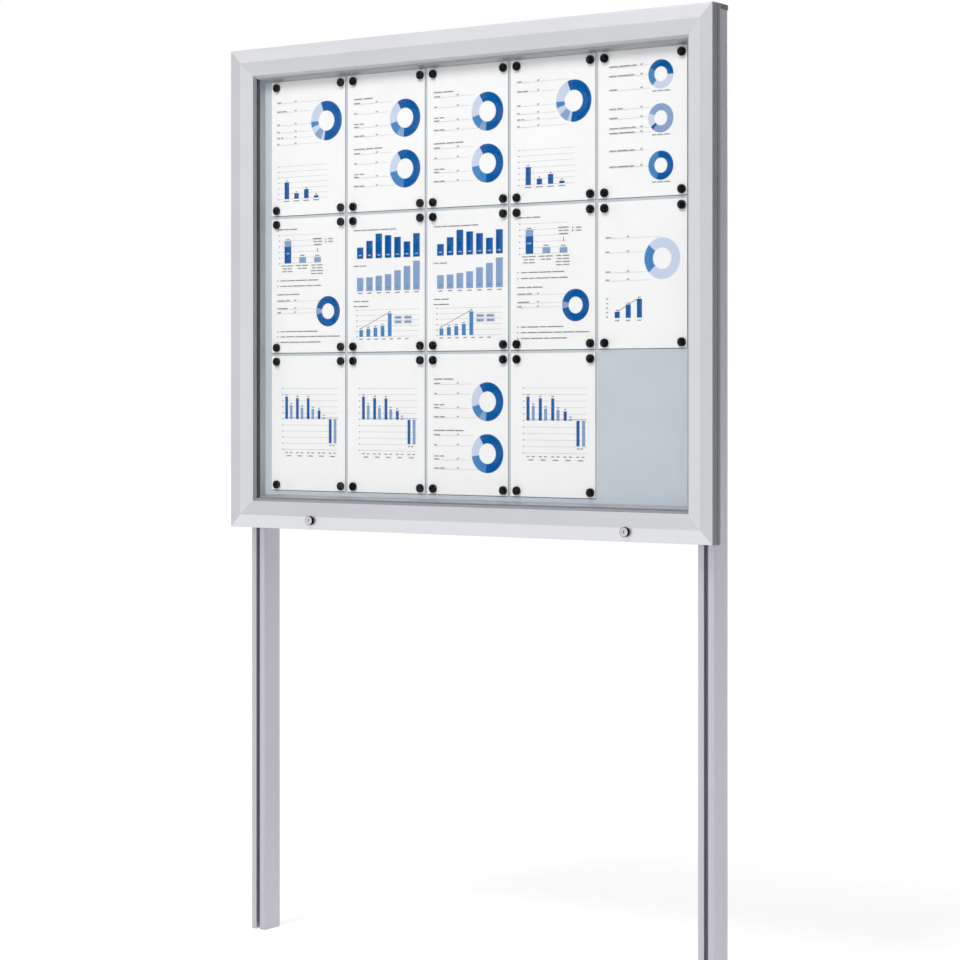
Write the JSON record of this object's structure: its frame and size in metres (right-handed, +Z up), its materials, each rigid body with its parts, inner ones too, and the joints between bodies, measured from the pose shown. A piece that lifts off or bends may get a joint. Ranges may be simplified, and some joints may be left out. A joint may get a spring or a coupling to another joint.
{
  "type": "lockable notice board",
  "caption": "Lockable top-hung glazed notice board with magnetic panel and printed sheets, carried by two slotted aluminium posts.",
  "frame": {"origin": "on the ground, midway between the two posts and in their middle plane", "axes": "+X to the right seen from the front, +Y to the rear, +Z up"},
  "size_m": [1.24, 0.114, 1.96],
  "materials": {
    "post": "natural anodised extrusion",
    "cap": "moulded grey plastic",
    "case": "dark grey coated extrusion",
    "steel": "zinc-plated steel",
    "panel": "light blue-grey coated steel",
    "backing": "coated sheet",
    "trim": "natural anodised extrusion",
    "seal": "black rubber",
    "gasket": "grey rubber",
    "door": "natural anodised extrusion",
    "cleat": "cast metal",
    "glass": "clear safety glass",
    "spacer": "black plastic",
    "lock": "nickel-plated brass",
    "paper": "printed paper",
    "magnet": "black plastic-capped magnet"
  },
  "bodies": {
    "case": {"post_left": "post", "post_right": "post", "post_cap_left": "cap", "post_cap_right": "cap", "case_rail_top": "case", "case_rail_bottom": "case", "case_rail_left": "case", "case_rail_right": "case", "case_corner_plates": "steel", "magnetic_panel": "panel", "backing_board": "backing", "inner_trim_top": "trim", "inner_trim_bottom": "trim", "inner_trim_left": "trim", "inner_trim_right": "trim", "door_seal": "seal", "hinge_leaf_case": "door", "hinge_rod": "steel", "stay_bracket_left": "steel", "stay_bracket_right": "steel", "stay_pivot_left": "steel", "stay_pivot_right": "steel", "lock_keepers": "steel", "mounting_bolts": "steel", "mounting_washers": "steel", "mounting_spacers": "spacer", "slot_nuts": "steel", "notice_sheets": "paper", "magnets": "magnet"},
    "door": {"door_rail_top": "door", "door_rail_bottom": "door", "door_rail_left": "door", "door_rail_right": "door", "door_corner_cleats": "cleat", "glazing": "glass", "glazing_gasket": "gasket", "hinge_leaf_door": "door", "stay_track_left": "door", "stay_track_right": "door", "lock_body_left": "lock", "lock_body_right": "lock", "lock_nut_left": "lock", "lock_nut_right": "lock"},
    "lock_left": {"lock_plug_left": "lock", "lock_cam_left": "steel", "cam_screw_left": "steel"},
    "lock_right": {"lock_plug_right": "lock", "lock_cam_right": "steel", "cam_screw_right": "steel"},
    "stay_left": {"stay_arm_left": "steel"},
    "stay_right": {"stay_arm_right": "steel"},
    "shoe_left": {"stay_slider_left": "spacer"},
    "shoe_right": {"stay_slider_right": "spacer"}
  },
  "joints": [
    {"name": "door_hinge", "type": "hinge", "parent": "case", "child": "door", "pos_m": [0, -0.049, 1.95], "axis": [-1, 0, 0], "range_deg": [0, 70]},
    {"name": "stay_turn_left", "type": "hinge", "parent": "case", "child": "stay_left", "pos_m": [-0.5973, -0.049, 1.69], "axis": [-1, 0, 0], "range_deg": [0, 140]},
    {"name": "stay_turn_right", "type": "hinge", "parent": "case", "child": "stay_right", "pos_m": [0.5973, -0.049, 1.69], "axis": [-1, 0, 0], "range_deg": [0, 140]},
    {"name": "shoe_turn_left", "type": "hinge", "parent": "stay_left", "child": "shoe_left", "pos_m": [-0.5973, -0.049, 1.43], "axis": [-1, 0, 0], "range_deg": [-70, 0]},
    {"name": "shoe_turn_right", "type": "hinge", "parent": "stay_right", "child": "shoe_right", "pos_m": [0.5973, -0.049, 1.43], "axis": [-1, 0, 0], "range_deg": [-70, 0]},
    {"name": "lock_turn_left", "type": "hinge", "parent": "door", "child": "lock_left", "pos_m": [-0.389, -0.083, 0.917], "axis": [0, 1, 0], "range_deg": [0, 90]},
    {"name": "lock_turn_right", "type": "hinge", "parent": "door", "child": "lock_right", "pos_m": [0.419, -0.083, 0.917], "axis": [0, 1, 0], "range_deg": [0, 90]}
  ],
  "couplings": [
    {"joint": "stay_turn_left", "follows": "door_hinge", "ratio": 2},
    {"joint": "stay_turn_right", "follows": "door_hinge", "ratio": 2},
    {"joint": "shoe_turn_left", "follows": "door_hinge", "ratio": -1},
    {"joint": "shoe_turn_right", "follows": "door_hinge", "ratio": -1}
  ]
}
